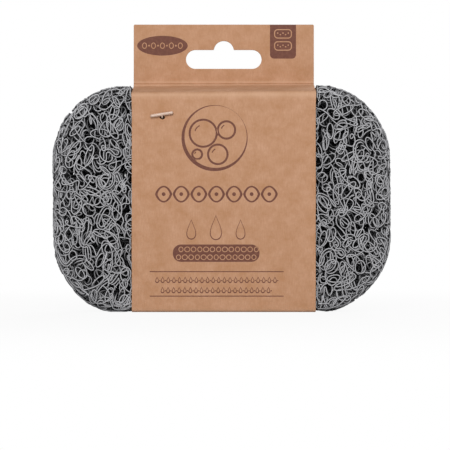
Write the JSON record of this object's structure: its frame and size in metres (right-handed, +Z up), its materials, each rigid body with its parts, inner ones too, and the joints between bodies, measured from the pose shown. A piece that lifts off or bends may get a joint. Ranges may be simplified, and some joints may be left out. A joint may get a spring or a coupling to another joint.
{
  "type": "soap riser",
  "caption": "Flat looped-filament soap riser pads with rounded corners, stacked in a folded kraft card sleeve with a hang header",
  "frame": {"origin": "on the surface that the pack stands on, under the middle of the pads", "axes": "+X to the right along the pads, seen from the front; +Y from the front card to the back card; +Z up to the hang header"},
  "size_m": [0.125, 0.025, 0.1083],
  "materials": {
    "kraft_card": "uncoated kraft card, matt",
    "nylon_pin": "translucent natural nylon",
    "pvc_filament": "extruded soft PVC, slight gloss"
  },
  "bodies": {
    "pack": {"sleeve_wrap": "kraft_card", "front_pad": "pvc_filament", "rear_pad": "pvc_filament", "front_pad_loops_left_1": "pvc_filament", "front_pad_loops_left_2": "pvc_filament", "front_pad_loops_left_3": "pvc_filament", "front_pad_loops_right_1": "pvc_filament", "front_pad_loops_right_2": "pvc_filament", "front_pad_loops_right_3": "pvc_filament", "rear_pad_loops_left_1": "pvc_filament", "rear_pad_loops_left_2": "pvc_filament", "rear_pad_loops_left_3": "pvc_filament", "rear_pad_loops_right_1": "pvc_filament", "rear_pad_loops_right_2": "pvc_filament", "rear_pad_loops_right_3": "pvc_filament"},
    "header": {"header_card": "kraft_card"},
    "tag": {"tag_pin": "nylon_pin"}
  },
  "joints": [
    {"name": "header_fold", "type": "hinge", "parent": "pack", "child": "header", "pos_m": [0.0008, 0.01045, 0.086], "axis": [1, 0, 0], "range_deg": [-30, 90], "stiffness_Nm_per_rad": 0.001},
    {"name": "tag_pin_turn", "type": "hinge", "parent": "pack", "child": "tag", "pos_m": [-0.0219, 0, 0.0719], "axis": [0, 1, 0], "continuous": true}
  ]
}
